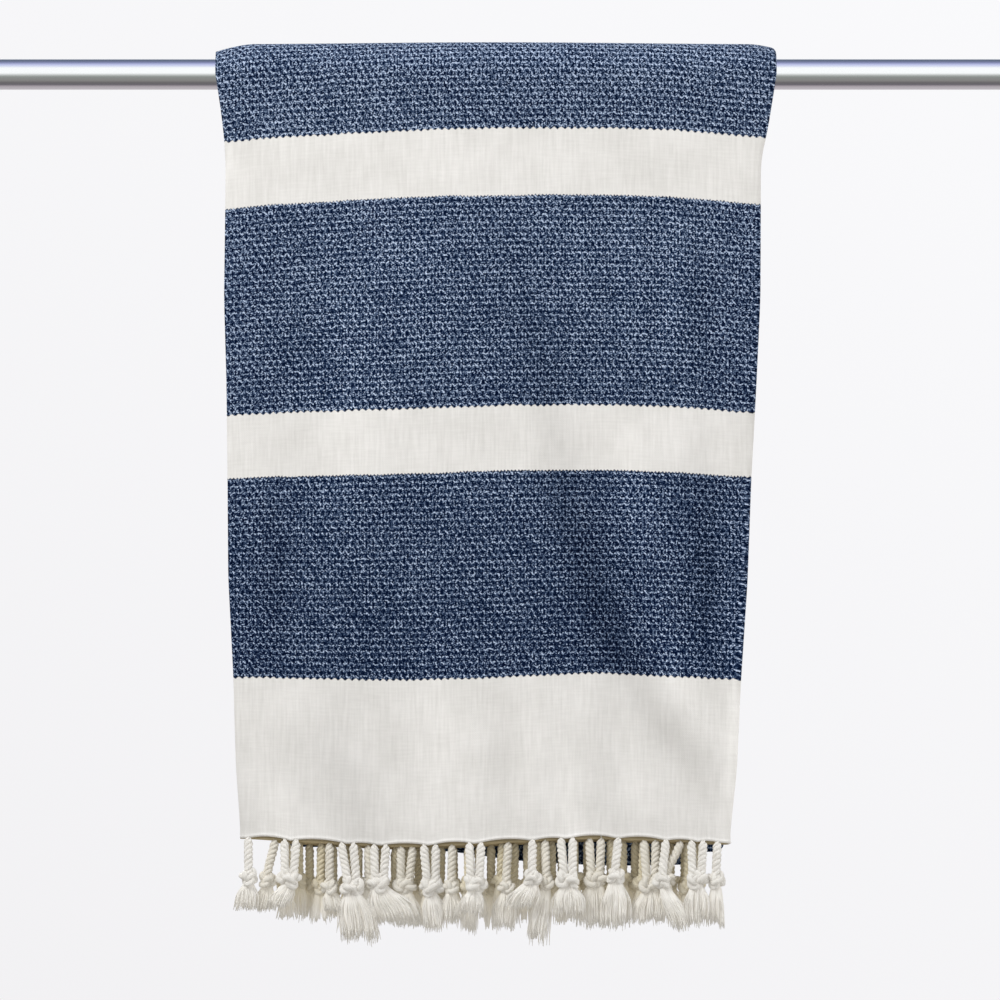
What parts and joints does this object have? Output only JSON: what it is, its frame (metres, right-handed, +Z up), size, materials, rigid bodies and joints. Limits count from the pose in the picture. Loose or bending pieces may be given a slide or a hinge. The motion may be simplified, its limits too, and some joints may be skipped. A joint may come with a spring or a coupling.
{
  "type": "hammam towel on a rod",
  "caption": "Striped cotton hammam towel with knotted fringe, folded in six layers and draped over a plain round steel rod.",
  "frame": {"origin": "centre of the rod's left end face, on the rod's axis", "axes": "+X along the rod to its right end, -Y towards the fringed front, +Z up"},
  "size_m": [0.6, 0.0595, 0.4738],
  "materials": {
    "striped_cotton": "navy and off-white cotton, woven in broad stripes",
    "fringe_cotton": "off-white cotton yarn, twisted in cords and knotted",
    "rod_steel": "satin stainless steel"
  },
  "bodies": {
    "root": {"towel": "striped_cotton", "fringe_outer_end": "fringe_cotton", "fringe_inner_end": "fringe_cotton", "rod": "rod_steel"}
  },
  "joints": []
}
